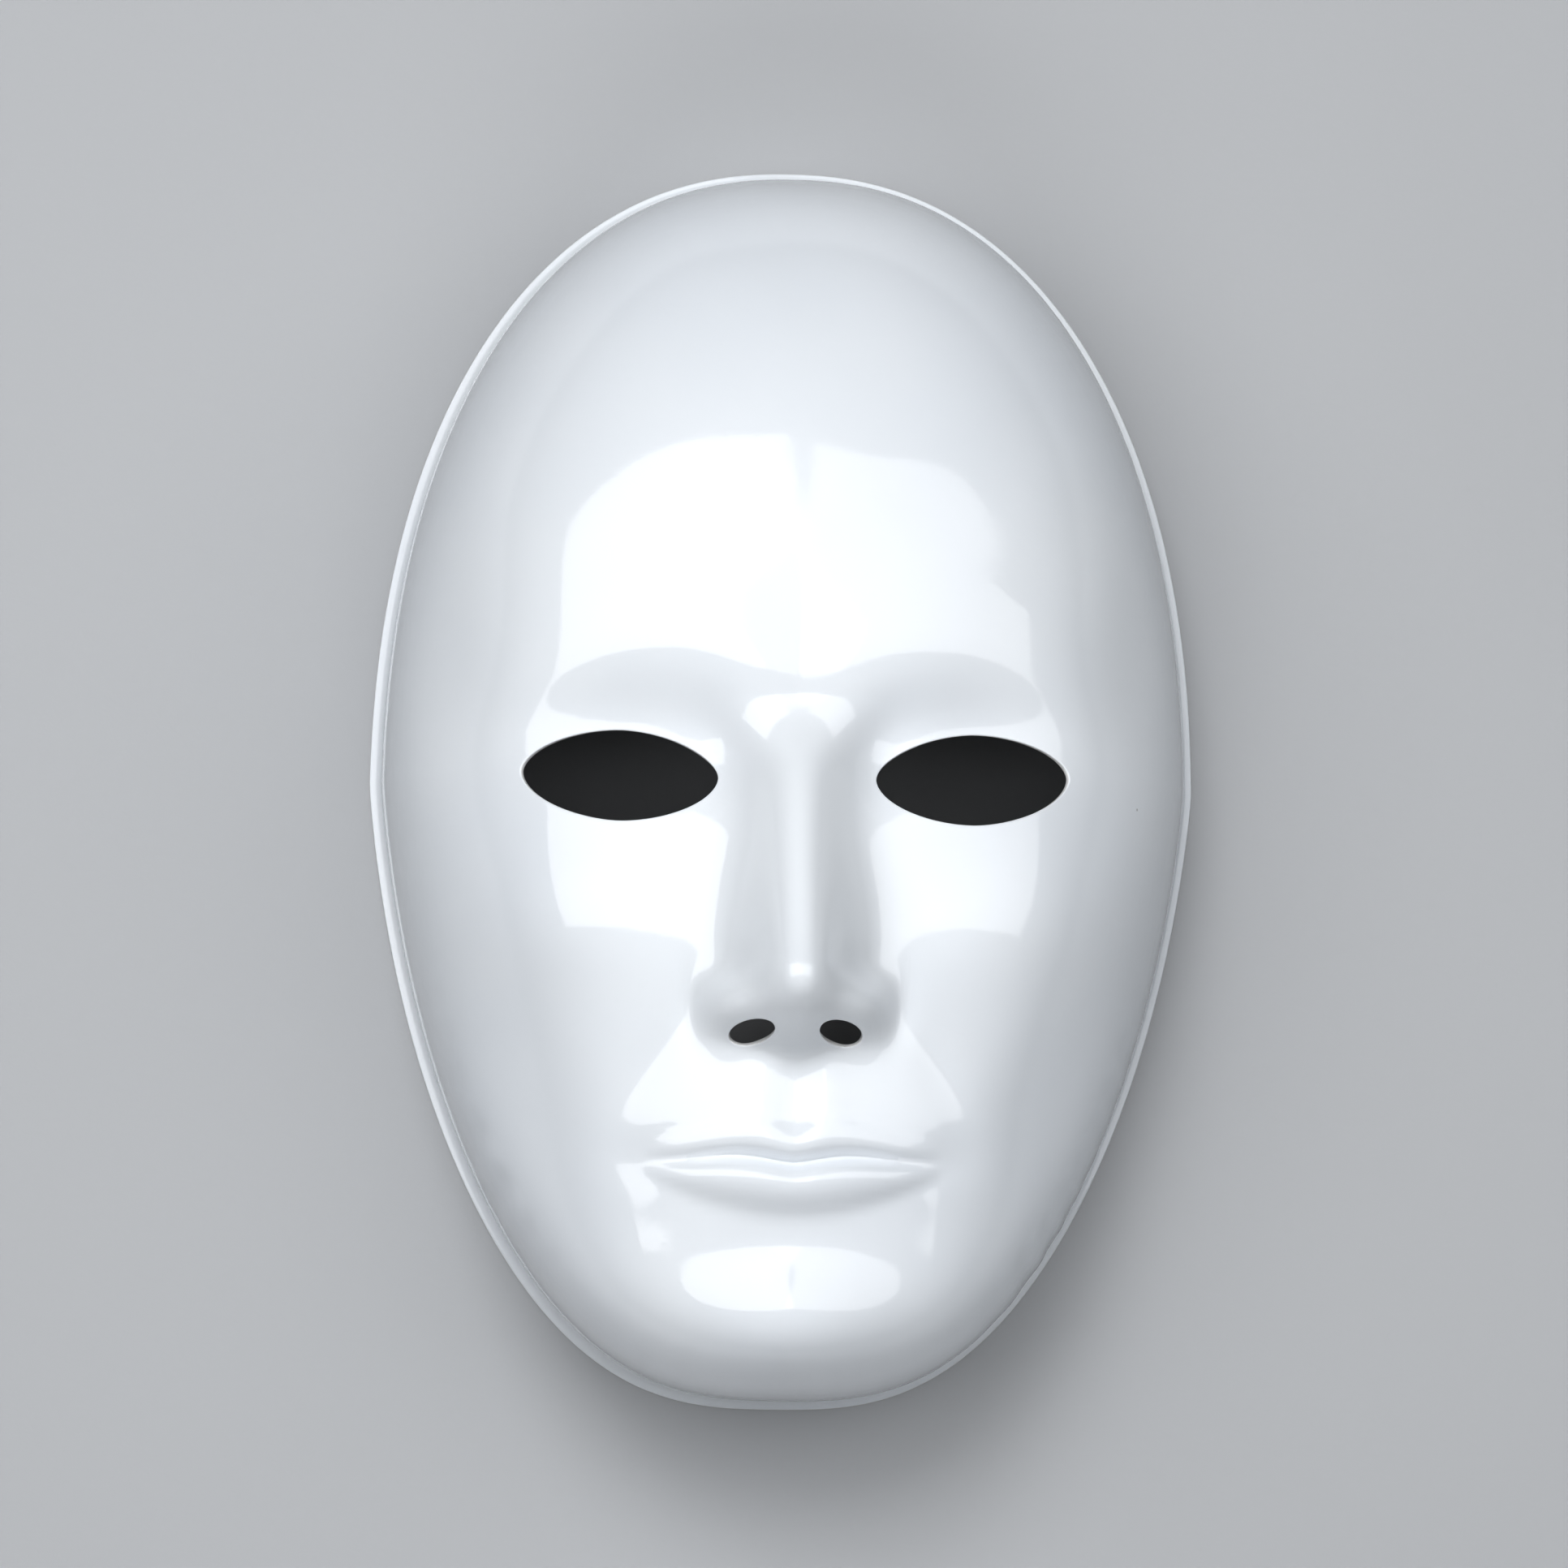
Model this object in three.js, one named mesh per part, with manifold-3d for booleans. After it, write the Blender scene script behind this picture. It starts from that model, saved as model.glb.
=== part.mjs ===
// A full-face mask: one thin shell of white plastic sheet, formed over a mould and trimmed flat.
// It lies on its rim with the face up. X runs across the face, Y up towards the forehead, Z out along the nose.
// The origin is on the rim's plane, at the middle of the outline. Lengths are in millimetres.
import * as THREE from "three";
import { mergeVertices } from "three/addons/utils/BufferGeometryUtils.js";
import Module from "manifold-3d";

// Driving dimensions of the shell
const halfWidth = 79;
const halfHeight = 120;
const domeHeight = 74;
const wall = 1.1;
const rimFlare = 2.4;
const flareHeight = 3.4;

// Places of the features, by the canon of proportions: eyes at half the height, nose base and mouth below by thirds
const eyeLine = 0;
const browLine = 22;
const noseTip = -42;
const noseBase = -50;
const mouthLine = -73.3;
const chinFold = -91;
const chinPoint = -109;
const noseRise = 23.5;
const mouthHalfWidth = 28;

// Sizes of the openings
const eyeOpening = { across: 33.5, up: -1, halfLength: 18.5, above: 8.3, below: 8.9, tilt: 2, power: 1.8 };
const nostril = { across: 8.4, up: -49.6, halfLength: 4.2, halfHeight: 2.3, tilt: -12 };
const strapHole = { up: 4, aboveRim: 9, radius: 2 };

// The surface grid: the share of it that covers the front, and the areas where its cells are halved
const columns = 34;
const rows = 46;
const frontShare = 0.8;
const frontReach = 0.93;
const wallSpacing = 1.9;
const fineAreas = [
  { halfWidth: 28, low: -90, high: -38 },
  { halfWidth: 20, low: -38, high: 18 },
];

const degrees = Math.PI / 180;

function clamp(value, low, high) {
  return Math.min(Math.max(value, low), high);
}

function smooth(from, to, value) {
  const t = clamp((value - from) / (to - from), 0, 1);
  return t * t * (3 - 2 * t);
}

function hill(offset, spread) {
  return Math.exp(-((offset / spread) ** 2));
}

// A soft hill at (across, up), repeated on the other side of the face where it isn't on the middle line.
function bump(x, y, across, up, spreadX, spreadY, tilt = 0) {
  const sides = across ? [1, -1] : [1];
  let total = 0;
  for (const side of sides) {
    const turn = tilt * degrees * side;
    const dx = x - side * across;
    const dy = y - up;
    const u = dx * Math.cos(turn) + dy * Math.sin(turn);
    const v = -dx * Math.sin(turn) + dy * Math.cos(turn);
    total += hill(u, spreadX) * hill(v, spreadY);
  }
  return total;
}

// The egg outline: 0 at the middle, 1 on the rim. The lower half narrows to the jaw.
function eggRadius(x, y) {
  const low = Math.max(-y, 0) / halfHeight;
  const high = Math.max(y, 0) / halfHeight;
  const width = halfWidth * (1 - 0.27 * Math.min(low, 1.2) ** 1.25 - 0.03 * high);
  const power = y < 0 ? 2.9 : 2.25;
  return ((Math.abs(x) / width) ** power + (Math.abs(y) / halfHeight) ** power) ** (1 / power);
}

// How boxy the dome's section is: soft over the forehead, squarer at the jaw.
function domePower(y) {
  const low = Math.max(-y, 0) / halfHeight;
  const high = Math.max(y, 0) / halfHeight;
  return 2.55 + 1.5 * low ** 2 + 0.15 * high ** 2;
}

function brow(x, y) {
  const forehead = 1.5 * bump(x, y, 0, 62, 40, 26);
  const arch = browLine + 3.5 - 0.0062 * (Math.abs(x) - 33) ** 2;
  const ridge = 1.8 * hill(y - arch, 13) * hill(Math.abs(x) - 30, 25);
  const temple = 3 * bump(x, y, 68, 24, 10, 26);
  return forehead + ridge - temple;
}

// The hollows round the eyes leave the bridge of the nose free, which widens upwards into the brow.
function eyeSocket(x, y) {
  const arch = eyeLine + 5 - 0.0045 * (Math.abs(x) - 33) ** 2;
  const hollow = 5.6 * hill(y - arch, 12.5) * hill(Math.abs(x) - 30, 23);
  const innerCorner = 2.6 * bump(x, y, 16, eyeLine + 3, 7, 10);
  const free = 1 - 0.9 * hill(x, 8 + 8 * smooth(2, 26, y));
  const lids = 2.4 * bump(x, y, 34, eyeLine - 2, 19, 9, -3);
  return lids - (hollow + innerCorner) * free;
}

function cheek(x, y) {
  const bone = 4.5 * bump(x, y, 45, -27, 20, 16, 15);
  const hollow = 4.5 * bump(x, y, 54, -62, 13, 24, -20);
  return bone - hollow;
}

// The lower of two heights, with the meeting rounded over a span.
function softLower(first, second, span) {
  const near = Math.max(span - Math.abs(first - second), 0) / span;
  return Math.min(first, second) - (near * near * span) / 4;
}

// The bridge rises to the tip and turns round it into the steep underside. The wings stand beside the tip.
function nose(x, y) {
  const side = Math.abs(x);
  const bridge = (noseRise * Math.max(14 - y, 0)) / (14 - noseTip);
  const below = y - noseBase + 2.8 - 0.012 * side ** 2;
  const underside = 1.5 * (below + Math.sqrt(below ** 2 + 1.8));
  const profile = softLower(bridge, underside, 30);
  const spread = 8 + 7 * smooth(0, 24, y) + 2.2 * smooth(4, -26, y) + 0.6 * smooth(-26, noseTip, y);
  const power = 2.05 + 0.3 * smooth(-18, noseTip, y);
  const ridge = profile * Math.exp(-((side / spread) ** power)) * smooth(22, 4, y);
  const root = 1.6 * bump(x, y, 0, 8, 12, 9);
  const tip = 1.6 * bump(x, y, 0, noseTip - 1, 9, 8);
  const wings = 5.8 * bump(x, y, 12.8, noseTip - 2.8, 5, 5.2, 12);
  const creaseBeside = 1.5 * bump(x, y, 19.4, noseTip - 3.5, 2.8, 6.5, -8);
  const creaseAbove = 1.3 * bump(x, y, 11.8, noseTip + 6, 4.8, 3.6, -28);
  const column = 1.6 * bump(x, y, 0, noseBase - 0.6, 3.8, 3.4);
  return ridge + tip + wings + column - root - creaseBeside - creaseAbove;
}

function mouthHeight(x) {
  const corner = clamp(Math.abs(x) / mouthHalfWidth, 0, 1.2);
  return mouthLine - 0.6 * hill(x, 5) + 0.9 * hill(Math.abs(x) - 11, 8) - 0.3 * corner ** 3;
}

// Each lip swells towards the line between them and turns in there, the lower one fuller and more gently.
function lips(x, y) {
  const fade = clamp(1 - (x / mouthHalfWidth) ** 2, 0, 1);
  const above = y - mouthHeight(x);
  const away = Math.sqrt(above ** 2 + 1.4) - 1.18;
  const upperReach = 2.6 + 5.2 * fade + 0.9 * hill(Math.abs(x) - 6.5, 4.5) - 0.7 * hill(x, 3.2);
  const lowerReach = 2.6 + 7.8 * fade;
  const upperShare = 1 - (above / upperReach) ** 2;
  const lowerShare = 1 - ((y - mouthLine) / lowerReach) ** 2;
  const upper = (1.5 * (upperShare + Math.sqrt(upperShare ** 2 + 0.03)) * away) / (away + 0.9);
  const lower = (2.7 * (lowerShare + Math.sqrt(lowerShare ** 2 + 0.02)) * away) / (away + 1.6);
  return ((above > 0 ? upper : lower) - 0.9 * hill(above, 1.6)) * fade ** 0.7;
}

function aroundMouth(x, y) {
  const muzzle = 4 * bump(x, y, 0, mouthLine + 3.3, 27, 19);
  const corners = 0.8 * bump(x, y, mouthHalfWidth + 1, mouthLine - 0.3, 6, 5);
  const philtrum = 0.8 * smooth(-70, -62, y) * smooth(-51.5, -58, y) * hill(x, 3.4);
  const cheekFold = 0.8 * bump(x, y, 27, -57, 4.5, 13, 28);
  return muzzle - philtrum - corners - cheekFold;
}

function chin(x, y) {
  const boss = 14.5 * bump(x, y, 0, chinPoint, 27, 20);
  const jaw = 3 * bump(x, y, 34, chinPoint + 7, 16, 15);
  const fold = 1.9 * hill(y - chinFold + 0.012 * x ** 2, 7.5) * hill(x, 20);
  return boss + jaw - fold;
}

function relief(x, y) {
  const upper = brow(x, y) + eyeSocket(x, y) + cheek(x, y) + nose(x, y);
  return upper + aroundMouth(x, y) + lips(x, y) + chin(x, y);
}

// The distance from the middle at which the outline's measure reaches a target, along one direction.
function reach(dirX, dirY, target) {
  let near = 0;
  let far = 2 * halfHeight;
  for (let step = 0; step < 40; step += 1) {
    const middle = (near + far) / 2;
    if (eggRadius(dirX * middle, dirY * middle) < target) near = middle;
    else far = middle;
  }
  return (near + far) / 2;
}

// A square from -1 to 1 rounded into a disc. Its middle keeps straight rows, and towards the rim they turn
// into rings, so that each ring of the side wall lies level.
function discPoint(p, q) {
  const ring = Math.max(Math.abs(p), Math.abs(q));
  if (ring === 0) return [0, 0];
  const flatter = Math.abs(p) > Math.abs(q);
  const angle = (Math.PI / 4) * (flatter ? q / p : p / q);
  const along = Math.cos(angle) * (flatter ? p : q);
  const beside = Math.sin(angle) * (flatter ? p : q);
  const [ringX, ringY] = flatter ? [along, beside] : [beside, along];
  const share = clamp((ring - 0.3) / (frontShare - 0.3), 0, 1);
  const a = THREE.MathUtils.lerp(p * Math.sqrt(1 - (q * q) / 2), ringX, share);
  const b = THREE.MathUtils.lerp(q * Math.sqrt(1 - (p * p) / 2), ringY, share);
  return [a, b];
}

// How far up a point moves so that the rows near the mouth follow its line, closer together, with one of them on it.
function alongMouth(x, y, q) {
  const scale = (halfHeight * frontReach) / frontShare;
  const nearest = (Math.round((mouthLine * rows) / scale) * scale) / rows;
  let row = scale * q;
  row += (mouthLine - nearest) * hill(row - mouthLine, 12);
  row -= 0.35 * (row - mouthLine) * hill(row - mouthLine, 9);
  const weight = smooth(46, 34, Math.abs(x)) * hill(row - mouthLine, 16);
  return (row + mouthHeight(x) - mouthLine - y) * weight;
}

// A point of the outer surface, from its place in the square.
function surfacePoint(p, q) {
  const [a, b] = discPoint(p, q);
  const share = Math.hypot(a, b);
  const length = Math.hypot(a * halfWidth, b * halfHeight) || 1;
  const dirX = (a * halfWidth) / length;
  const dirY = (b * halfHeight) / length;
  let radius = clamp(share / frontShare, 0, 1) * frontReach;
  let distance = reach(dirX, dirY, radius);
  let height = 0;
  const down = clamp((share - frontShare) / (1 - frontShare), 0, 1);
  for (let step = 0; step < 3; step += 1) {
    const power = domePower(dirY * distance);
    if (down > 0) {
      height = (1 - frontReach ** power) ** (1 / power) * (1 - down) ** wallSpacing;
      radius = (1 - height ** power) ** (1 / power);
      distance = reach(dirX, dirY, radius);
    } else height = (1 - radius ** power) ** (1 / power);
  }
  const x = dirX * distance;
  let y = dirY * distance;
  if (down === 0) {
    y += alongMouth(x, y, q);
    const power = domePower(y);
    height = (1 - Math.min(eggRadius(x, y), 1) ** power) ** (1 / power);
  }
  const fade = 1 - (1 - height) ** 6;
  const z = domeHeight * height + relief(x, y) * fade;
  const flare = rimFlare * Math.exp(-z / flareHeight);
  return new THREE.Vector3(x + dirX * flare, y + dirY * flare, z);
}

// The surface as points and triangles. Cells in the fine area are halved both ways, and a coarse cell beside
// them becomes a fan around the extra point on the side they share, so that no seam opens.
function surfaceMesh() {
  const points = [];
  const numbers = new Map();
  const triangles = [];
  const place = (i, j) => [i / columns - 1, j / rows - 1];
  const pointAt = (i, j) => {
    const key = i * 1000 + j;
    if (!numbers.has(key)) {
      numbers.set(key, points.length);
      points.push(surfacePoint(...place(i, j)));
    }
    return numbers.get(key);
  };
  const isFine = (i, j) => {
    if (i < 0 || j < 0 || i >= columns || j >= rows) return false;
    const middle = surfacePoint(...place(2 * i + 1, 2 * j + 1));
    return fineAreas.some(
      (area) => Math.abs(middle.x) < area.halfWidth && middle.y > area.low && middle.y < area.high,
    );
  };
  const quad = (i, j, step) => {
    const corners = [[i, j], [i + step, j], [i + step, j + step], [i, j + step]];
    const [a, b, c, d] = corners.map((corner) => pointAt(...corner));
    const outward = (i + step / 2 - columns) * (j + step / 2 - rows) > 0;
    triangles.push(...(outward ? [a, b, c, a, c, d] : [a, b, d, b, c, d]));
  };
  for (let j = 0; j < rows; j += 1) {
    for (let i = 0; i < columns; i += 1) {
      const x = 2 * i;
      const y = 2 * j;
      if (isFine(i, j)) {
        for (const [dx, dy] of [[0, 0], [1, 0], [0, 1], [1, 1]]) quad(x + dx, y + dy, 1);
        continue;
      }
      const ring = [[x, y]];
      if (isFine(i, j - 1)) ring.push([x + 1, y]);
      ring.push([x + 2, y]);
      if (isFine(i + 1, j)) ring.push([x + 2, y + 1]);
      ring.push([x + 2, y + 2]);
      if (isFine(i, j + 1)) ring.push([x + 1, y + 2]);
      ring.push([x, y + 2]);
      if (isFine(i - 1, j)) ring.push([x, y + 1]);
      const first = ring.findIndex(([u, v]) => u % 2 || v % 2);
      if (first < 0) quad(x, y, 2);
      else {
        const fan = ring.map((_, turn) => pointAt(...ring[(first + turn) % ring.length]));
        for (let turn = 1; turn < fan.length - 1; turn += 1) triangles.push(fan[0], fan[turn], fan[turn + 1]);
      }
    }
  }
  const rim = [];
  for (let i = 0; i < columns; i += 1) rim.push(pointAt(2 * i, 0));
  for (let j = 0; j < rows; j += 1) rim.push(pointAt(2 * columns, 2 * j));
  for (let i = columns; i > 0; i -= 1) rim.push(pointAt(2 * i, 2 * rows));
  for (let j = rows; j > 0; j -= 1) rim.push(pointAt(0, 2 * j));
  return { points, triangles, rim };
}

// How much further in than the wall a point goes, so that the faces that lean away from its normal keep the wall.
function leanOf(points, triangles, normals) {
  const along = points.map(() => 0);
  const whole = points.map(() => 0);
  for (let t = 0; t < triangles.length; t += 3) {
    const corners = triangles.slice(t, t + 3);
    const [a, b, c] = corners.map((number) => points[number]);
    const facing = b.clone().sub(a).cross(c.clone().sub(a));
    for (const number of corners) {
      along[number] += facing.dot(normals[number]);
      whole[number] += facing.length();
    }
  }
  return whole.map((area, number) => clamp(area / along[number], 1, 1.4));
}

// The closed shell: the outer surface, the same surface one wall thickness further in, and the flat rim between.
function shellGeometry() {
  const { points, triangles, rim } = surfaceMesh();
  const front = new THREE.BufferGeometry().setFromPoints(points);
  front.setIndex(triangles);
  front.computeVertexNormals();
  const normals = points.map((_, number) => new THREE.Vector3().fromBufferAttribute(front.attributes.normal, number));
  const lean = leanOf(points, triangles, normals);
  for (const number of rim) {
    points[number].z = 0;
    normals[number].setZ(0).normalize();
  }
  const inner = points.map((point, number) => point.clone().addScaledVector(normals[number], -wall * lean[number]));
  const shift = points.length;
  const closed = [...triangles];
  for (let t = 0; t < triangles.length; t += 3) {
    closed.push(triangles[t] + shift, triangles[t + 2] + shift, triangles[t + 1] + shift);
  }
  rim.forEach((number, place) => {
    const next = rim[(place + 1) % rim.length];
    closed.push(number, number + shift, next + shift, number, next + shift, next);
  });
  const shell = new THREE.BufferGeometry().setFromPoints([...points, ...inner]);
  shell.setIndex(closed);
  return shell;
}

// A closed outline of a rounded lens, fuller or flatter above and below its long axis.
function lensShape(halfLength, above, below, power, points) {
  const shape = new THREE.Shape();
  for (let step = 0; step < points; step += 1) {
    const angle = (2 * Math.PI * step) / points;
    const c = Math.cos(angle);
    const s = Math.sin(angle);
    const u = halfLength * Math.sign(c) * Math.abs(c) ** (2 / power);
    const v = (s > 0 ? above : below) * Math.sign(s) * Math.abs(s) ** (2 / power);
    if (step === 0) shape.moveTo(u, v);
    else shape.lineTo(u, v);
  }
  return shape;
}

// A punch that cuts straight back through the face, on one side of it.
function punch(shape, across, up, tilt, side, from) {
  const geometry = new THREE.ExtrudeGeometry(shape, { depth: 2 * domeHeight, bevelEnabled: false });
  geometry.rotateZ(tilt * degrees);
  geometry.translate(across, up, from);
  if (side < 0) geometry.rotateY(Math.PI).translate(0, 0, 2 * domeHeight + 2 * from);
  return geometry;
}

const wasm = await Module();
wasm.setup();

function solidOf(geometry) {
  const bare = geometry.clone();
  bare.deleteAttribute("normal");
  bare.deleteAttribute("uv");
  const merged = mergeVertices(bare, 1e-4);
  return new wasm.Manifold(
    new wasm.Mesh({
      numProp: 3,
      vertProperties: new Float32Array(merged.attributes.position.array),
      triVerts: new Uint32Array(merged.index.array),
    }),
  );
}

function geometryOf(solid) {
  const mesh = solid.getMesh();
  const geometry = new THREE.BufferGeometry();
  geometry.setAttribute("position", new THREE.BufferAttribute(mesh.vertProperties, 3));
  geometry.setIndex(new THREE.BufferAttribute(mesh.triVerts, 1));
  geometry.computeVertexNormals();
  return geometry;
}

function eyePunch(side) {
  const shape = lensShape(eyeOpening.halfLength, eyeOpening.above, eyeOpening.below, eyeOpening.power, 28);
  return punch(shape, eyeOpening.across, eyeOpening.up, eyeOpening.tilt, side, 5);
}

function nostrilPunch(side) {
  const shape = lensShape(nostril.halfLength, nostril.halfHeight, nostril.halfHeight, 2, 14);
  return punch(shape, nostril.across, nostril.up, nostril.tilt, side, 5);
}

// A small round hole through the temple, for tying an elastic.
function strapPunch(side) {
  const geometry = new THREE.CylinderGeometry(strapHole.radius, strapHole.radius, halfWidth, 16);
  geometry.rotateZ(Math.PI / 2);
  geometry.translate(side * halfWidth, strapHole.up, strapHole.aboveRim);
  return geometry;
}

let shellSolid = solidOf(shellGeometry());
for (const side of [1, -1]) {
  for (const cutter of [eyePunch(side), nostrilPunch(side), strapPunch(side)]) {
    shellSolid = shellSolid.subtract(solidOf(cutter));
  }
}

const whitePlastic = new THREE.MeshStandardMaterial({ color: 0xe9edf0, roughness: 0.16, metalness: 0 });

const maskShell = new THREE.Mesh(geometryOf(shellSolid), whitePlastic);
maskShell.name = "mask_shell";

const faceMask = new THREE.Group();
faceMask.add(maskShell);

export default faceMask;
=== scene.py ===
import math

import bpy
import numpy as np
from mathutils import Matrix, Vector


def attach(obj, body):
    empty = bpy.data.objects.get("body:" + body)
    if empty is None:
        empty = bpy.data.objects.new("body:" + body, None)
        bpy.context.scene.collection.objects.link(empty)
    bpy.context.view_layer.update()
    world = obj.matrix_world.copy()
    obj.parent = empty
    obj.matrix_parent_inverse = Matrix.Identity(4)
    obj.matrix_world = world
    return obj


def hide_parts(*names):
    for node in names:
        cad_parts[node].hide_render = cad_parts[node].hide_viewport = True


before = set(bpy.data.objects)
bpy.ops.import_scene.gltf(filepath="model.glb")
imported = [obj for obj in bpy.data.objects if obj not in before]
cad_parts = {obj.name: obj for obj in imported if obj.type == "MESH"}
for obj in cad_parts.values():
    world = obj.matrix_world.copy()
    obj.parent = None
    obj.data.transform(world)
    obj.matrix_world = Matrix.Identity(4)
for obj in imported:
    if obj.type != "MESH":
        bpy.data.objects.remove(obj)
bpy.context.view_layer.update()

mm = 0.001
print("stage: frame loaded")


# camera, floor and light

camera = {
    "distance": 1.4,
    "aim": (-0.0012, -0.001, 0.04),
    "yaw": -2.5,
    "pitch": -3.0,
    "roll": 0.7,
    "lens": 167,
    "sensor": 36,
}

studio = {
    "floorSize": 5.0,
    "floorColor": (0.50, 0.51, 0.525),
    "floorCloud": (0.97, 1.03),          # darkest and lightest of the paper's faint clouds
    "floorRoughness": 0.82,
    "floorGrain": 0.0001,                # metres
    "worldColor": (0.026, 0.029, 0.033),
    "gamma": 0.75,                       # below 1 deepens the shades and leaves the whites
    "softBoxes": {                       # place, aim, width, height, roll, watts
        "leftBox": ((-0.54, 0.22, 1.12), (0.0, 0.01, 0.05), 1.05, 1.30, 30, 8.7),
        "rightBox": ((0.58, 0.20, 1.10), (0.0, 0.01, 0.05), 0.95, 1.30, -30, 6.1),
        "fill": ((-0.28, 0.95, 1.78), (0.0, -0.02, 0.05), 0.9, 0.8, 0, 16.0),
        "lowBox": ((-0.10, -1.10, 0.90), (0.0, -0.02, 0.05), 1.0, 0.5, 0, 5.3),
    },
    "unmirrored": ("fill", "lowBox"),    # these boxes light the mask, but don't show in its gloss
}


def clearSelection():
    if bpy.context.mode != "OBJECT":
        bpy.ops.object.mode_set(mode="OBJECT")
    bpy.ops.object.select_all(action="DESELECT")


def placeCamera():
    yaw, pitch, roll = (math.radians(camera[key]) for key in ("yaw", "pitch", "roll"))
    back = Vector((math.sin(yaw) * math.cos(pitch), math.sin(pitch), math.cos(yaw) * math.cos(pitch)))
    right = Vector((0, 1, 0)).cross(back).normalized()
    up = back.cross(right)
    turn = Matrix((right, up, back)).transposed() @ Matrix.Rotation(roll, 3, "Z")
    bpy.ops.object.camera_add(location=Vector(camera["aim"]) + back * camera["distance"])
    shot = bpy.context.object
    shot.name = "photoCamera"
    shot.rotation_euler = turn.to_euler()
    shot.data.lens = camera["lens"]
    shot.data.sensor_width = camera["sensor"]
    bpy.context.scene.camera = shot


def placeSoftBoxes():
    for name, (place, aim, width, height, roll, watts) in studio["softBoxes"].items():
        bpy.ops.object.light_add(type="AREA", location=place)
        box = bpy.context.object
        box.name = name
        facing = (Vector(aim) - Vector(place)).to_track_quat("-Z", "Y").to_matrix()
        box.rotation_euler = (facing @ Matrix.Rotation(math.radians(roll), 3, "Z")).to_euler()
        box.data.shape = "RECTANGLE"
        box.data.size = width
        box.data.size_y = height
        box.data.energy = watts
        box.visible_glossy = name not in studio["unmirrored"]


def setSockets(node, values):            # each value is a number, a colour or the output of another node
    for key, value in values.items():
        if isinstance(value, bpy.types.NodeSocket):
            node.id_data.links.new(value, node.inputs[key])
        else:
            node.inputs[key].default_value = value


def startMaterial(name):                 # the material, its shader, and a function that adds a node
    material = bpy.data.materials.new(name)
    material.use_nodes = True
    nodes = material.node_tree.nodes

    def add(kind, values=None, **settings):
        node = nodes.new(kind)
        for key, value in settings.items():
            setattr(node, key, value)
        setSockets(node, values or {})
        return node.outputs

    return material, nodes["Principled BSDF"], add


def noise(add, place, scale, detail, roughness=0.5):
    values = {"Vector": place, "Scale": scale, "Detail": detail, "Roughness": roughness}
    return add("ShaderNodeTexNoise", values)["Fac"]


def remap(add, value, low, high, toLow, toHigh):
    ends = {"From Min": low, "From Max": high, "To Min": toLow, "To Max": toHigh}
    return add("ShaderNodeMapRange", {"Value": value, **ends})["Result"]


def mixColors(add, factor, first, second):
    values = {"Factor": factor}
    for key, color in (("A", first), ("B", second)):
        values[key] = color if isinstance(color, bpy.types.NodeSocket) else (*color, 1)
    return add("ShaderNodeMix", values, data_type="RGBA")["Result"]


def raised(add, height, strength, distance, **under):
    values = {"Height": height, "Strength": strength, "Distance": distance}
    return add("ShaderNodeBump", {**values, **under})["Normal"]


def floorPaper():
    material, shader, add = startMaterial("floorPaper")
    place = add("ShaderNodeTexCoord")["Object"]
    grain = noise(add, place, 900.0, 3.0)
    cloud = noise(add, place, 3.0, 2.0)
    dark, light = ([part * share for part in studio["floorColor"]] for share in studio["floorCloud"])
    setSockets(shader, {"Base Color": mixColors(add, cloud, dark, light),
                        "Roughness": studio["floorRoughness"],
                        "Normal": raised(add, grain, 0.2, studio["floorGrain"])})
    return material


def layFloor():
    bpy.ops.mesh.primitive_plane_add(size=studio["floorSize"])
    floor = bpy.context.object
    floor.name = "floor"
    floor.data.materials.append(floorPaper())


def setWorld():
    world = bpy.data.worlds.new("studioWorld")
    world.use_nodes = True
    world.node_tree.nodes["Background"].inputs["Color"].default_value = (*studio["worldColor"], 1)
    bpy.context.scene.world = world
    bpy.context.scene.view_settings.view_transform = "Standard"
    bpy.context.scene.view_settings.gamma = studio["gamma"]


clearSelection()
placeCamera()
placeSoftBoxes()
layFloor()
setWorld()
print("stage: camera, floor and light placed")


# the mask's form, in millimetres, x across, y up the face and z out of it

shell = {
    "halfWidth": 79.0,
    "halfHeight": 120.0,
    "dome": 74.0,
    "wall": 1.1,
    "jawTaper": 0.27,                    # how much narrower the outline gets towards the chin
    "crownTaper": 0.03,
    "jawCorners": 2.9,                   # an oval has 2, and a squarer outline has more
    "crownCorners": 2.25,
    "domeCorners": 2.55,                 # the same for the dome, and what it gains at the chin and the crown
    "domeAtChin": 1.5,
    "domeAtCrown": 0.15,
    "foot": 3.0,                         # how high the wall stops and turns out into the rim's lip
    "lipRound": 1.9,
    "lipWidth": 2.4,
    "waves": 0.11,                       # the sheet's slow unevenness
    "ripples": 0.28,                     # marks of forming, low at the jaw
    "rippleCount": 74,                   # if they went all the way round
    "edgeRound": 0.2,
    "sharpAngle": 70,                    # degrees, edges sharper than this are rounded
    "columns": 174,
    "rows": 232,
    "centreSpacing": 0.72,               # the grid's middle cells are this share of the usual size
    "straightShare": 0.3,                # its rows are straight this far out, and then they turn into rings
    "frontShare": 0.8,                   # this far out it is the front, and beyond it the side wall
    "frontReach": 0.93,                  # where on the face the front ends, with 1 on the outline
    "wallSpacing": 1.6,                  # above 1, the wall's rows lie closer together at the foot
}

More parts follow.
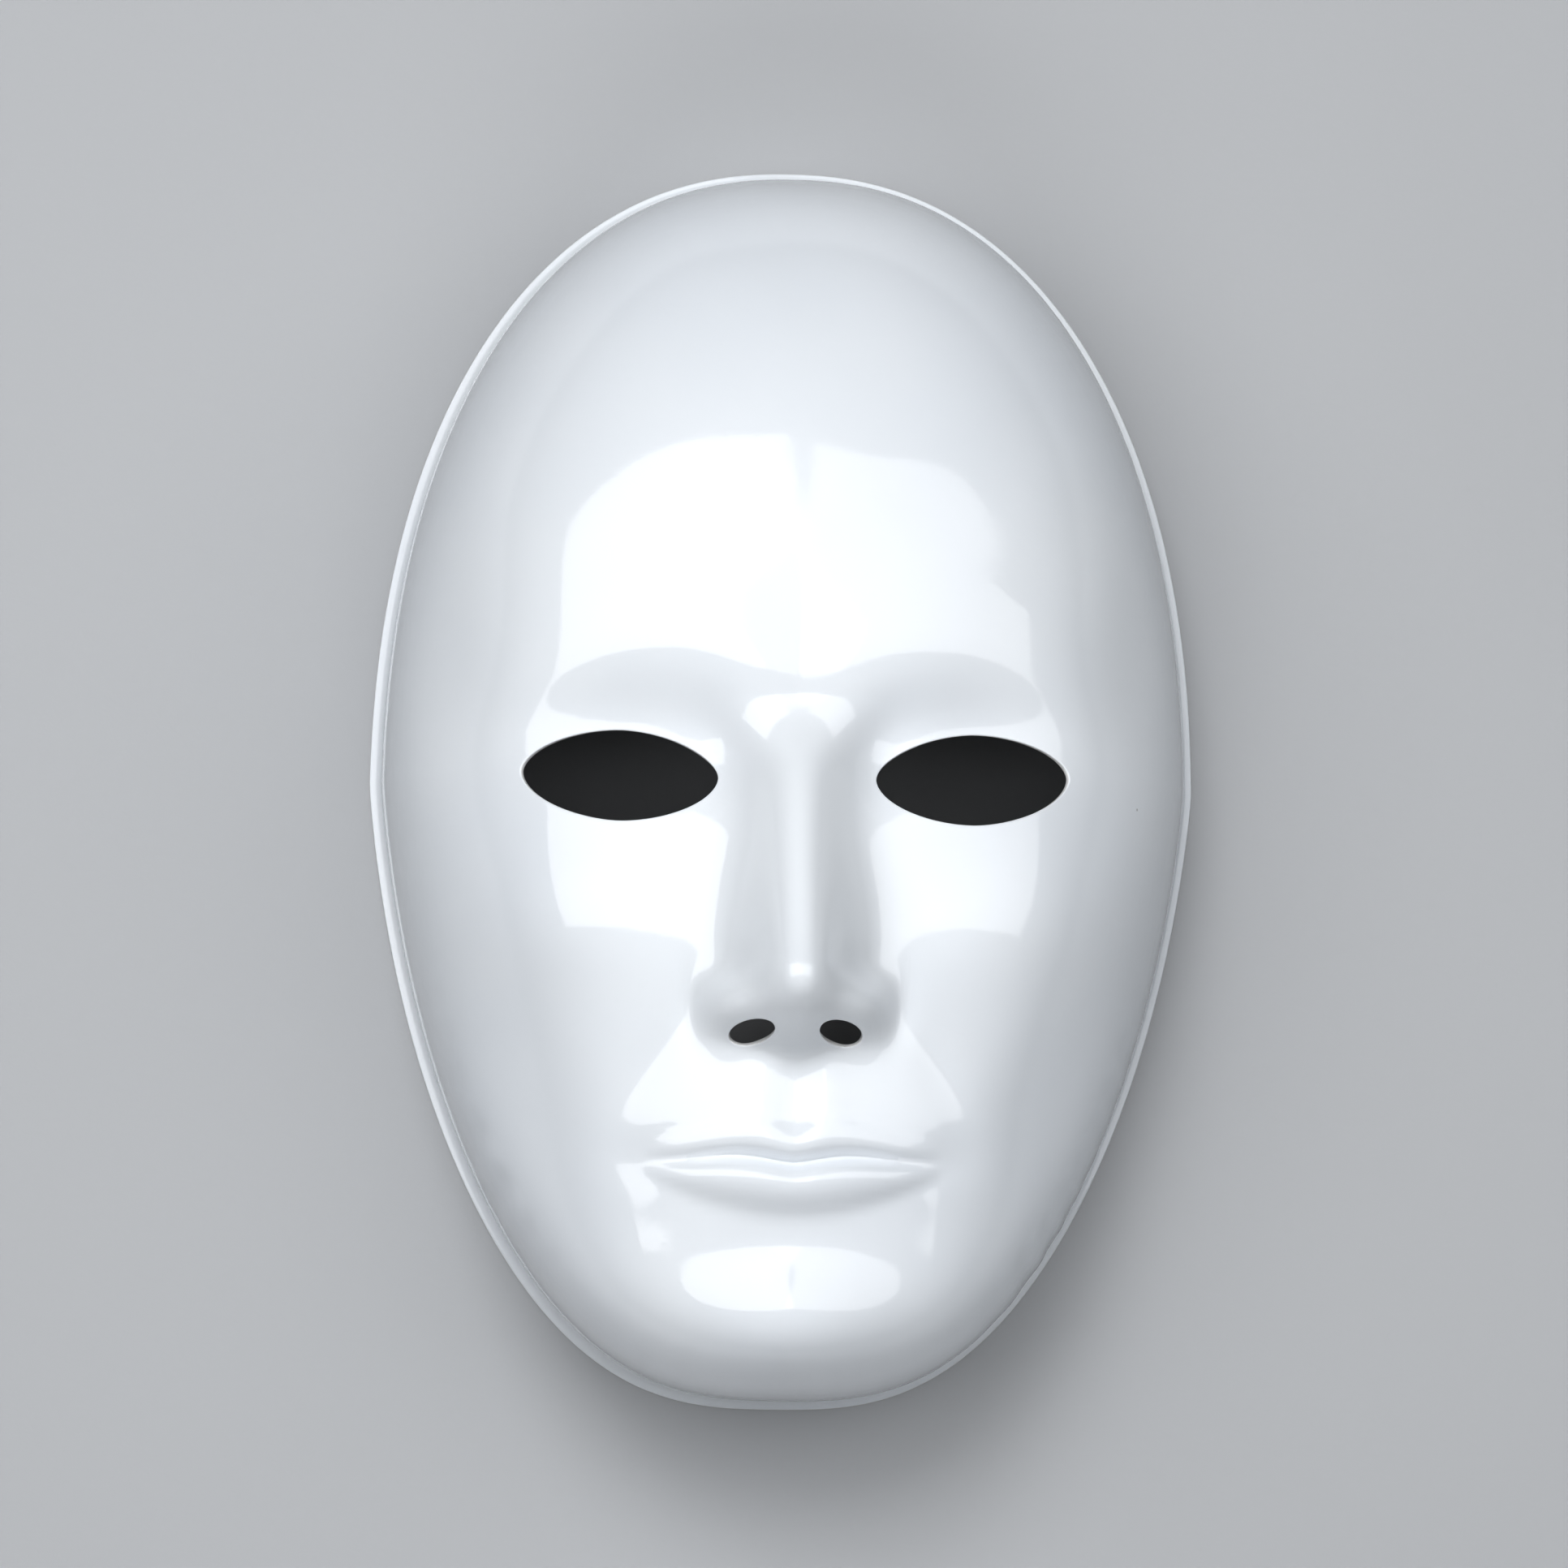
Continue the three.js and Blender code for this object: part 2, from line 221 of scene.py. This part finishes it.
# first the features' places up the face, then how far each form stands out of the shell or lies in it
face = {
    "eyeLine": 0.0,
    "browLine": 22.0,
    "noseRoot": 14.0,
    "noseTip": -42.0,
    "noseBase": -50.0,
    "mouthLine": -73.3,
    "mouthHalfWidth": 28.0,
    "chinFold": -91.0,
    "chinPoint": -109.0,
    "foreheadRise": 1.5,
    "browRise": 1.8,
    "templeDip": 3.0,
    "eyeSocketDip": 5.6,
    "innerCornerDip": 2.6,
    "lidRise": 2.4,
    "cheekboneRise": 4.5,
    "cheekDip": 4.5,
    "noseRise": 23.5,
    "noseRootDip": 1.6,
    "noseTipRise": 1.6,
    "wingRise": 5.8,
    "besideWingDip": 1.5,
    "aboveWingDip": 1.3,
    "septumRise": 1.6,
    "upperLipRise": 1.5,
    "lowerLipRise": 2.7,
    "mouthLineDip": 0.9,
    "mouthCornerDip": 0.8,
    "muzzleRise": 4.0,
    "philtrumSideRise": 0.4,
    "philtrumDip": 0.8,
    "smileFoldDip": 0.8,
    "chinRise": 14.5,
    "jawRise": 3.0,
    "chinFoldDip": 1.9,
}


def smooth(low, high, value):
    t = np.clip((value - low) / (high - low), 0, 1)
    return t * t * (3 - 2 * t)


def bell(offset, spread):
    return np.exp(-(offset / spread) ** 2)


def mound(x, y, across, up, spreadX, spreadY, tilt=0.0):
    # an oval hill, 1 high, on the middle line or, where it lies across from it, one on each side
    total = 0
    for side in ((1, -1) if across else (1,)):
        turn = math.radians(tilt) * side
        dx, dy = x - side * across, y - up
        u = dx * math.cos(turn) + dy * math.sin(turn)
        v = -dx * math.sin(turn) + dy * math.cos(turn)
        total = total + bell(u, spreadX) * bell(v, spreadY)
    return total


def halfShares(y):                       # how far down and how far up, 1 at the ends of the outline
    return np.clip(-y, 0, None) / shell["halfHeight"], np.clip(y, 0, None) / shell["halfHeight"]


def eggRadius(x, y):                     # 0 in the middle, 1 on the outline
    low, high = halfShares(y)
    narrowing = shell["jawTaper"] * np.minimum(low, 1.2) ** 1.25
    width = shell["halfWidth"] * (1 - narrowing - shell["crownTaper"] * high)
    power = np.where(y < 0, shell["jawCorners"], shell["crownCorners"])
    return ((np.abs(x) / width) ** power + (np.abs(y) / shell["halfHeight"]) ** power) ** (1 / power)


def domePower(y):                        # soft over the forehead, squarer at the jaw
    low, high = halfShares(y)
    return shell["domeCorners"] + shell["domeAtChin"] * low ** 2 + shell["domeAtCrown"] * high ** 2


def brow(x, y):
    arch = face["browLine"] + 3.5 - 0.0062 * (np.abs(x) - 33) ** 2
    forehead = face["foreheadRise"] * mound(x, y, 0, 62, 40, 26)
    ridge = face["browRise"] * bell(y - arch, 13) * bell(np.abs(x) - 30, 25)
    return forehead + ridge - face["templeDip"] * mound(x, y, 68, 24, 10, 26)


def eyeSocket(x, y):                     # the hollows leave the bridge free, which widens into the brow
    line = face["eyeLine"]
    arch = line + 5 - 0.0045 * (np.abs(x) - 33) ** 2
    hollow = face["eyeSocketDip"] * bell(y - arch, 12.5) * bell(np.abs(x) - 30, 23)
    hollow = hollow + face["innerCornerDip"] * mound(x, y, 16, line + 3, 7, 10)
    free = 1 - 0.9 * bell(x, 8 + 8 * smooth(2, 26, y))
    return face["lidRise"] * mound(x, y, 34, line - 2, 19, 9, -3) - hollow * free


def cheek(x, y):
    bone = face["cheekboneRise"] * mound(x, y, 45, -27, 20, 16, 15)
    return bone - face["cheekDip"] * mound(x, y, 54, -62, 13, 24, -20)


def softLower(first, second, span):      # the lower of two heights, with their meeting rounded
    near = np.clip(span - np.abs(first - second), 0, None) / span
    return np.minimum(first, second) - near * near * span / 4


def nose(x, y):
    side, root, tip, base = np.abs(x), face["noseRoot"], face["noseTip"], face["noseBase"]
    bridge = face["noseRise"] * np.clip(root - y, 0, None) / (root - tip)
    below = y - base + 2.8 - 0.012 * side ** 2                        # the wings end higher than the middle
    underside = 1.5 * (below + np.sqrt(below ** 2 + 1.8))
    # half the ridge's width, from brow to tip, and how square its top is
    spread = 8.0 + 7.0 * smooth(0, 24, y) + 2.2 * smooth(4, -26, y) + 0.6 * smooth(-26, tip, y)
    power = 2.05 + 0.3 * smooth(-18, tip, y)
    ridge = softLower(bridge, underside, 30) * np.exp(-(side / spread) ** power) * smooth(22, 4, y)
    z = ridge + face["noseTipRise"] * mound(x, y, 0, tip - 1, 9.0, 8.0)
    z = z + face["wingRise"] * mound(x, y, 12.8, tip - 2.8, 5.0, 5.2, 12)
    z = z - face["besideWingDip"] * mound(x, y, 19.4, tip - 3.5, 2.8, 6.5, -8)
    z = z - face["aboveWingDip"] * mound(x, y, 11.8, tip + 6, 4.8, 3.6, -28)
    z = z + face["septumRise"] * mound(x, y, 0, base - 0.6, 3.8, 3.4)
    return z - face["noseRootDip"] * mound(x, y, 0, 8, 12, 9)


def mouthHeight(x):                      # the line between the lips, with its bow
    corner = np.clip(np.abs(x) / face["mouthHalfWidth"], 0, 1.2)
    return face["mouthLine"] - 0.6 * bell(x, 5) + 0.9 * bell(np.abs(x) - 11, 8) - 0.3 * corner ** 3


def lips(x, y):                          # each lip swells towards the line between them and turns in there
    side = np.abs(x)
    fade = np.clip(1 - (side / face["mouthHalfWidth"]) ** 2, 0, 1)
    above = y - mouthHeight(x)
    away = np.sqrt(above ** 2 + 1) - 1
    upperReach = 2.6 + 5.2 * fade + 0.9 * bell(side - 6.5, 4.5) - 0.7 * bell(x, 3.2)
    lowerReach = 2.6 + 7.8 * fade
    upperShare = 1 - (above / upperReach) ** 2
    lowerShare = 1 - ((y - face["mouthLine"]) / lowerReach) ** 2
    upper = face["upperLipRise"] * (upperShare + np.sqrt(upperShare ** 2 + 0.03)) * away / (away + 0.9)
    lower = face["lowerLipRise"] * (lowerShare + np.sqrt(lowerShare ** 2 + 0.02)) * away / (away + 1.6)
    return (np.where(above > 0, upper, lower) - face["mouthLineDip"] * bell(above, 1.6)) * fade ** 0.7


def aroundMouth(x, y):
    line, width = face["mouthLine"], face["mouthHalfWidth"]
    muzzle = face["muzzleRise"] * mound(x, y, 0, line + 3.3, 27, 19)
    corners = face["mouthCornerDip"] * mound(x, y, width + 1, line - 0.3, 6, 5)
    span = smooth(-70, -62, y) * smooth(-51.5, -58, y)
    philtrum = face["philtrumSideRise"] * bell(np.abs(x) - 6.4, 3.4) - face["philtrumDip"] * bell(x, 3.4)
    return muzzle + span * philtrum - corners - face["smileFoldDip"] * mound(x, y, 27, -57, 4.5, 13, 28)


def chin(x, y):
    boss = face["chinRise"] * mound(x, y, 0, face["chinPoint"], 27, 20)
    jaw = face["jawRise"] * mound(x, y, 34, face["chinPoint"] + 7, 16, 15)
    fold = face["chinFold"] - 0.012 * x ** 2
    return boss + jaw - face["chinFoldDip"] * bell(y - fold, 7.5) * bell(x, 20)


def unevenness(x, y):                    # no formed sheet is quite even
    across = np.sin(x / 6.4 + 1.2 * np.sin(y / 17))
    upwards = np.sin(y / 7.7 + np.sin(x / 13) + 0.6)
    return shell["waves"] * across * upwards


def relief(x, y):
    upper = brow(x, y) + eyeSocket(x, y) + cheek(x, y) + nose(x, y)
    return upper + lips(x, y) + aroundMouth(x, y) + chin(x, y) + unevenness(x, y)


def jawRipples(x, y, z):                 # upright marks in the wall, where the sheet was drawn most
    turn = np.arctan2(y / shell["halfHeight"], x / shell["halfWidth"])
    stronger = 0.6 + 0.4 * np.sin(13 * turn + 1)
    upright = np.sin(shell["rippleCount"] * turn + 2.2 * np.sin(9 * turn)) * stronger
    return shell["ripples"] * upright * bell(y + 76, 27) * smooth(17, 28, z) * smooth(60, 40, z)


def formedHeight(x, y, height):          # the relief fades out towards the rim
    foot = shell["foot"] / shell["dome"]
    share = np.clip((height - foot) / (1 - foot), 0, 1)
    return shell["dome"] * height + relief(x, y) * (1 - (1 - share) ** 6)


def frontHeight(x, y):
    power = domePower(y)
    return (1 - np.clip(eggRadius(x, y), 0, 1) ** power) ** (1 / power)


def heightAt(x, y):
    return formedHeight(x, y, frontHeight(x, y))


def reach(dirX, dirY, target, halvings=40):            # how far out eggRadius meets the target
    near, far = np.zeros_like(dirX), np.full_like(dirX, 2 * shell["halfHeight"])
    for _ in range(halvings):
        middle = (near + far) / 2
        short = eggRadius(dirX * middle, dirY * middle) < target
        near, far = np.where(short, middle, near), np.where(short, far, middle)
    return (near + far) / 2


def roundSquare(p, q):                   # straight rows in the middle turn into rings at the rim
    ring = np.maximum(np.abs(p), np.abs(q))
    flatter = np.abs(p) > np.abs(q)
    lead, other = np.where(flatter, p, q), np.where(flatter, q, p)
    angle = math.pi / 4 * other / np.where(ring == 0, 1, lead)
    along, beside = np.cos(angle) * lead, np.sin(angle) * lead
    share = np.clip((ring - shell["straightShare"]) / (shell["frontShare"] - shell["straightShare"]), 0, 1)
    a = (1 - share) * p * np.sqrt(1 - q * q / 2) + share * np.where(flatter, along, beside)
    b = (1 - share) * q * np.sqrt(1 - p * p / 2) + share * np.where(flatter, beside, along)
    return a, b


def alongMouth(x, y, b):                 # how far each row near the mouth moves, so that one lies on its line
    line = face["mouthLine"]
    row = shell["halfHeight"] * shell["frontReach"] / shell["frontShare"] * b
    row = row + (line - row[np.argmin(np.abs(row - line))]) * bell(row - line, 12)
    row = row - 0.35 * (row - line) * bell(row - line, 9)             # closer together
    weight = smooth(46, 34, np.abs(x)) * bell(row - line, 16)
    return (row + mouthHeight(x) - line - y) * weight


def surface(p, q):                       # the points of the face for a square grid from -1 to 1
    finer, frontShare, frontReach = shell["centreSpacing"], shell["frontShare"], shell["frontReach"]
    p, q = p * (finer + (1 - finer) * p * p), q * (finer + (1 - finer) * q * q)
    a, b = roundSquare(p, q)
    share = np.hypot(a, b)
    length = np.hypot(a * shell["halfWidth"], b * shell["halfHeight"])
    length[length == 0] = 1
    dirX, dirY = a * shell["halfWidth"] / length, b * shell["halfHeight"] / length
    radius = np.clip(share / frontShare, 0, 1) * frontReach
    down = np.clip((share - frontShare) / (1 - frontShare), 0, 1)
    distance = reach(dirX, dirY, radius)
    foot = shell["foot"] / shell["dome"]
    for _ in range(3):                   # the side wall is set out by height, which settles in a few rounds
        power = domePower(dirY * distance)
        edge = (1 - frontReach ** power) ** (1 / power)
        wall = foot + (edge - foot) * (1 - down) ** shell["wallSpacing"]
        height = np.where(down > 0, wall, (1 - radius ** power) ** (1 / power))
        distance = reach(dirX, dirY, np.where(down > 0, (1 - wall ** power) ** (1 / power), radius))
    distance = distance + jawRipples(dirX * distance, dirY * distance, height * shell["dome"])
    x, y = dirX * distance, dirY * distance
    y = y + alongMouth(x, y, q) * (down == 0)
    height = np.where(down > 0, height, frontHeight(x, y))
    return np.stack([x, y, formedHeight(x, y, height)], axis=1)


# the sheet and its openings
# the grid is cut away as far as an opening's margin, and rings of points are drawn in from there to its edge

openings = {
    "eye": {"across": 33.5, "up": -1.0, "half": (18.5, 8.3, 8.9), "tilt": 2.0, "power": 1.8,
            "margin": 4.6, "band": 2.5, "rings": (2.9, 1.7, 0.9, 0.4, 0.0)},
    "nostril": {"across": 8.4, "up": -49.6, "half": (4.2, 2.3, 2.3), "tilt": -12.0, "power": 2.0,
                "margin": 1.9, "band": 2.5, "rings": (1.1, 0.7, 0.4, 0.0)},
}
strapHole = {"up": 4.0, "aboveRim": 9.0, "radius": 2.0,
             "margin": 3.0, "band": 2.0, "rings": (1.6, 0.9, 0.4, 0.0)}
# half is half the length and the heights above and below, band is how far past the margin the border may lie,
# and rings are the distances of the rings from the edge


def readPlaces(parts, key):              # a row for each part, in millimetres
    flat = np.empty(len(parts) * 3)
    parts.foreach_get(key, flat)
    return flat.reshape(-1, 3) / mm


def getPoints(mesh):
    return readPlaces(mesh.vertices, "co")


def setPoints(mesh, points):
    mesh.vertices.foreach_set("co", (points * mm).ravel())
    mesh.update()


def edgeEnds(mesh):
    flat = np.empty(len(mesh.edges) * 2, dtype=np.int32)
    mesh.edges.foreach_get("vertices", flat)
    return flat.reshape(-1, 2)


def selected(parts):
    flags = np.empty(len(parts), dtype=bool)
    parts.foreach_get("select", flags)
    return flags


def formSheet():
    clearSelection()
    bpy.ops.mesh.primitive_grid_add(x_subdivisions=shell["columns"], y_subdivisions=shell["rows"], size=2)
    sheet = bpy.context.object
    sheet.name = "mask_face"
    square = getPoints(sheet.data) * mm
    setPoints(sheet.data, surface(square[:, 0], square[:, 1]))
    return sheet


def lensOutline(x, y, opening, side, grow):
    # the point of the grown opening's edge towards (x, y), and how far out (x, y) is, as a share of that
    turn = math.radians(opening["tilt"])
    dx, dy = x * side - opening["across"], y - opening["up"]
    u = dx * math.cos(turn) + dy * math.sin(turn)
    v = -dx * math.sin(turn) + dy * math.cos(turn)
    length, above, below = (half + grow for half in opening["half"])
    half = np.where(v > 0, above, below)
    power = opening["power"]
    share = (np.abs(u / length) ** power + np.abs(v / half) ** power) ** (1 / power)
    share = np.where(share == 0, 1, share)
    u, v = u / share, v / half * half / share
    edgeX = (opening["across"] + u * math.cos(turn) - v * math.sin(turn)) * side
    edgeY = opening["up"] + u * math.sin(turn) + v * math.cos(turn)
    return edgeX, edgeY, share


def circleOutline(y, z, grow):           # the same for the strap hole, in the side wall
    dy, dz = y - strapHole["up"], z - strapHole["aboveRim"]
    away = np.hypot(dy, dz)
    radius = strapHole["radius"] + grow
    return strapHole["up"] + dy / away * radius, strapHole["aboveRim"] + dz / away * radius, away / radius


def deleteFaces(mesh, doomed):
    bpy.ops.object.mode_set(mode="EDIT")
    bpy.ops.mesh.select_mode(type="FACE")
    bpy.ops.mesh.select_all(action="DESELECT")
    bpy.ops.object.mode_set(mode="OBJECT")
    mesh.polygons.foreach_set("select", doomed)
    bpy.ops.object.mode_set(mode="EDIT")
    bpy.ops.mesh.delete(type="FACE")
    bpy.ops.object.mode_set(mode="OBJECT")


def selectBorder(mesh, near):            # the open edges between the points marked as near
    bpy.ops.object.mode_set(mode="EDIT")
    bpy.ops.mesh.select_mode(type="EDGE")
    bpy.ops.mesh.select_all(action="DESELECT")
    bpy.ops.mesh.select_non_manifold(extend=False)
    bpy.ops.object.mode_set(mode="OBJECT")
    ends = edgeEnds(mesh)
    chosen = selected(mesh.edges) & near[ends].all(axis=1)
    mesh.vertices.foreach_set("select", np.isin(np.arange(len(mesh.vertices)), ends[chosen]))
    mesh.edges.foreach_set("select", chosen)


def extrudeBorder(mesh):                 # returns which points are the new ring's
    bpy.ops.object.mode_set(mode="EDIT")
    bpy.ops.mesh.extrude_edges_indiv()
    bpy.ops.object.mode_set(mode="OBJECT")
    return selected(mesh.vertices)


def evenOut(mesh, ring, points, rounds=3):             # spaces the points of one ring evenly
    ends = edgeEnds(mesh)
    first, second = ends[ring[ends].all(axis=1)].T
    for _ in range(rounds):
        total = points.copy()
        np.add.at(total, first, points[second])
        np.add.at(total, second, points[first])
        points = np.where(ring[:, None], total / 3, points)
    return points


def drawRings(mesh, rings, ringPlace):   # extrudes the border inwards, ring by ring, onto the opening's edge
    for distance in rings:
        ring = extrudeBorder(mesh)
        points = evenOut(mesh, ring, getPoints(mesh))
        points[ring] = ringPlace(points[ring], distance)
        setPoints(mesh, points)


def turnLip(sheet, steps=5, probe=0.01):               # the rim is drawn out round a bend into a flat lip
    mesh, drawn = sheet.data, 0.0
    selectBorder(mesh, np.ones(len(mesh.vertices), dtype=bool))
    turns = [math.radians(90 * step / steps) for step in range(1, steps + 1)]
    bend = [(shell["lipRound"] * (1 - math.cos(turn)), shell["foot"] - shell["lipRound"] * math.sin(turn))
            for turn in turns]
    for out, height in bend + [(shell["lipWidth"], bend[-1][1])]:
        ring = extrudeBorder(mesh)
        points = getPoints(mesh)
        x, y = points[ring, 0], points[ring, 1]
        slopeX = eggRadius(x + probe, y) - eggRadius(x - probe, y)
        slopeY = eggRadius(x, y + probe) - eggRadius(x, y - probe)
        step = (out - drawn) / np.hypot(slopeX, slopeY)
        points[ring] = np.stack([x + slopeX * step, y + slopeY * step, np.full(len(x), height)], axis=1)
        setPoints(mesh, points)
        drawn = out


def cutLens(sheet, opening, side):
    mesh = sheet.data

    def inside(places, grow):
        return lensOutline(places[:, 0], places[:, 1], opening, side, grow)[2] < 1

    def ringPlace(ring, distance):
        x, y, _ = lensOutline(ring[:, 0], ring[:, 1], opening, side, distance)
        return np.stack([x, y, heightAt(x, y)], axis=1)

    deleteFaces(mesh, inside(readPlaces(mesh.polygons, "center"), opening["margin"]))
    selectBorder(mesh, inside(getPoints(mesh), opening["margin"] + opening["band"]))
    drawRings(mesh, opening["rings"], ringPlace)


def cutStrapHole(sheet, guide, side):
    mesh = sheet.data

    def inside(places, grow):
        return (circleOutline(places[:, 1], places[:, 2], grow)[2] < 1) & (places[:, 0] * side > 0)

    def ringPlace(ring, distance):       # on the wall of the uncut sheet
        y, z, _ = circleOutline(ring[:, 1], ring[:, 2], distance)
        flat = np.stack([ring[:, 0], y, z], axis=1) * mm
        return np.array([guide.closest_point_on_mesh(Vector(point))[1] for point in flat]) / mm

    deleteFaces(mesh, inside(readPlaces(mesh.polygons, "center"), strapHole["margin"]))
    selectBorder(mesh, inside(getPoints(mesh), strapHole["margin"] + strapHole["band"]))
    drawRings(mesh, strapHole["rings"], ringPlace)


def selectOnly(piece):
    clearSelection()
    piece.select_set(True)
    bpy.context.view_layer.objects.active = piece


def cutOpenings(sheet):
    selectOnly(sheet)
    bpy.ops.object.duplicate()           # an uncut copy, to keep the strap holes' edges on the wall
    guide = bpy.context.object
    selectOnly(sheet)
    for side in (1, -1):
        cutLens(sheet, openings["eye"], side)
        cutLens(sheet, openings["nostril"], side)
        cutStrapHole(sheet, guide, side)
    bpy.data.objects.remove(guide)
    bpy.ops.object.mode_set(mode="EDIT")
    bpy.ops.mesh.select_all(action="SELECT")
    bpy.ops.mesh.normals_make_consistent(inside=False)
    bpy.ops.object.mode_set(mode="OBJECT")


def applyModifier(piece, kind, **settings):
    modifier = piece.modifiers.new(kind.lower(), kind)
    for key, value in settings.items():
        setattr(modifier, key, value)
    bpy.ops.object.modifier_apply(modifier=modifier.name)


def thicken(sheet):                      # the inside gets the second finish, and the cut edges get the third
    applyModifier(sheet, "SOLIDIFY", thickness=shell["wall"] * mm, offset=-1, use_quality_normals=True,
                  material_offset=1, material_offset_rim=2)
    points = getPoints(sheet.data)
    points[:, 2] = np.clip(points[:, 2], 0, None)      # the rim is trimmed flat
    setPoints(sheet.data, points)
    applyModifier(sheet, "BEVEL", width=shell["edgeRound"] * mm, segments=2, limit_method="ANGLE",
                  angle_limit=math.radians(shell["sharpAngle"]), use_clamp_overlap=False)
    bpy.ops.object.shade_smooth()


# finishes

plastic = {
    "clean": (0.785, 0.812, 0.842),
    "cooler": (0.755, 0.785, 0.822),
    "speck": (0.30, 0.30, 0.29),
    "inside": (0.74, 0.75, 0.765),
    "insideShade": (0.68, 0.69, 0.705),
    "cutEdge": (0.84, 0.845, 0.85),
    "cutEdgeShade": (0.70, 0.705, 0.71),
    "gloss": (0.055, 0.10),              # lowest and highest roughness
    "satin": (0.36, 0.48),
    "sawn": (0.52, 0.70),
    "rubbed": 0.10,                      # what a rub mark adds to the roughness
    "ior": 1.58,
    "speckCells": 105.0,                 # cells in a metre, with at most one speck in each
    "speckless": 0.955,                  # the share of the cells that have none
    "speckDark": 0.55,
    "wave": 0.00018,                     # the sheet's slow unevenness, in metres as the next three are
    "peel": 0.000012,                    # the fine skin of the gloss
    "satinGrain": 0.00003,
    "sawMarks": 0.00006,
}


def calculate(add, operation, first, second, **settings):
    return add("ShaderNodeMath", {0: first, 1: second}, operation=operation, **settings)["Value"]


def glossOutside():
    material, shader, add = startMaterial("glossWhitePlastic")
    place = add("ShaderNodeTexCoord")["Object"]
    cloud = remap(add, noise(add, place, 17.0, 3.0, 0.45), 0.35, 0.65, 0, 1)
    tint = mixColors(add, cloud, plastic["clean"], plastic["cooler"])

    cells = add("ShaderNodeTexVoronoi", {"Vector": place, "Scale": plastic["speckCells"]})
    dot = remap(add, cells["Distance"], 0.020, 0.034, 1, 0)
    chance = add("ShaderNodeSeparateColor", {"Color": cells["Color"]})["Red"]
    rare = calculate(add, "GREATER_THAN", chance, plastic["speckless"])
    speck = calculate(add, "MULTIPLY", calculate(add, "MULTIPLY", dot, rare), plastic["speckDark"])

    turned = {"Vector": place, "Rotation": (0.3, 0.2, 0.9), "Scale": (900.0, 24.0, 200.0)}
    streak = noise(add, add("ShaderNodeMapping", turned)["Vector"], 1.0, 2.0)
    rubbed = remap(add, streak, 0.69, 0.76, 0, plastic["rubbed"])
    base = remap(add, noise(add, place, 75.0, 5.0, 0.6), 0.3, 0.7, *plastic["gloss"])

    wave = raised(add, noise(add, place, 34.0, 1.0), 1.0, plastic["wave"])
    skin = raised(add, noise(add, place, 620.0, 2.0), 1.0, plastic["peel"], Normal=wave)
    setSockets(shader, {"Base Color": mixColors(add, speck, tint, plastic["speck"]),
                        "Roughness": calculate(add, "ADD", base, rubbed, use_clamp=True),
                        "Normal": skin, "IOR": plastic["ior"]})
    return material


def satinInside():
    material, shader, add = startMaterial("satinInsidePlastic")
    place = add("ShaderNodeTexCoord")["Object"]
    cloud = remap(add, noise(add, place, 26.0, 4.0), 0.3, 0.7, 0, 1)
    grain = noise(add, place, 1400.0, 3.0)
    setSockets(shader, {"Base Color": mixColors(add, cloud, plastic["inside"], plastic["insideShade"]),
                        "Roughness": remap(add, grain, 0.3, 0.7, *plastic["satin"]),
                        "Normal": raised(add, grain, 0.6, plastic["satinGrain"])})
    return material


def sawnEdge():
    material, shader, add = startMaterial("trimmedPlasticEdge")
    place = add("ShaderNodeTexCoord")["Object"]
    squeezed = add("ShaderNodeMapping", {"Vector": place, "Scale": (1.0, 1.0, 9.0)})["Vector"]
    marks = noise(add, squeezed, 520.0, 4.0)
    shade = remap(add, marks, 0.35, 0.7, 0, 1)
    setSockets(shader, {"Base Color": mixColors(add, shade, plastic["cutEdge"], plastic["cutEdgeShade"]),
                        "Roughness": remap(add, marks, 0.3, 0.7, *plastic["sawn"]),
                        "Normal": raised(add, marks, 0.7, plastic["sawMarks"])})
    return material


mask = formSheet()
turnLip(mask)
print("stage: sheet formed,", len(mask.data.polygons), "faces")
cutOpenings(mask)
print("stage: openings cut,", len(mask.data.polygons), "faces")
for finish in (glossOutside(), satinInside(), sawnEdge()):
    mask.data.materials.append(finish)
thicken(mask)
print("stage: wall and edges made,", len(mask.data.polygons), "faces")

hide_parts("mask_shell")
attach(mask, "root")
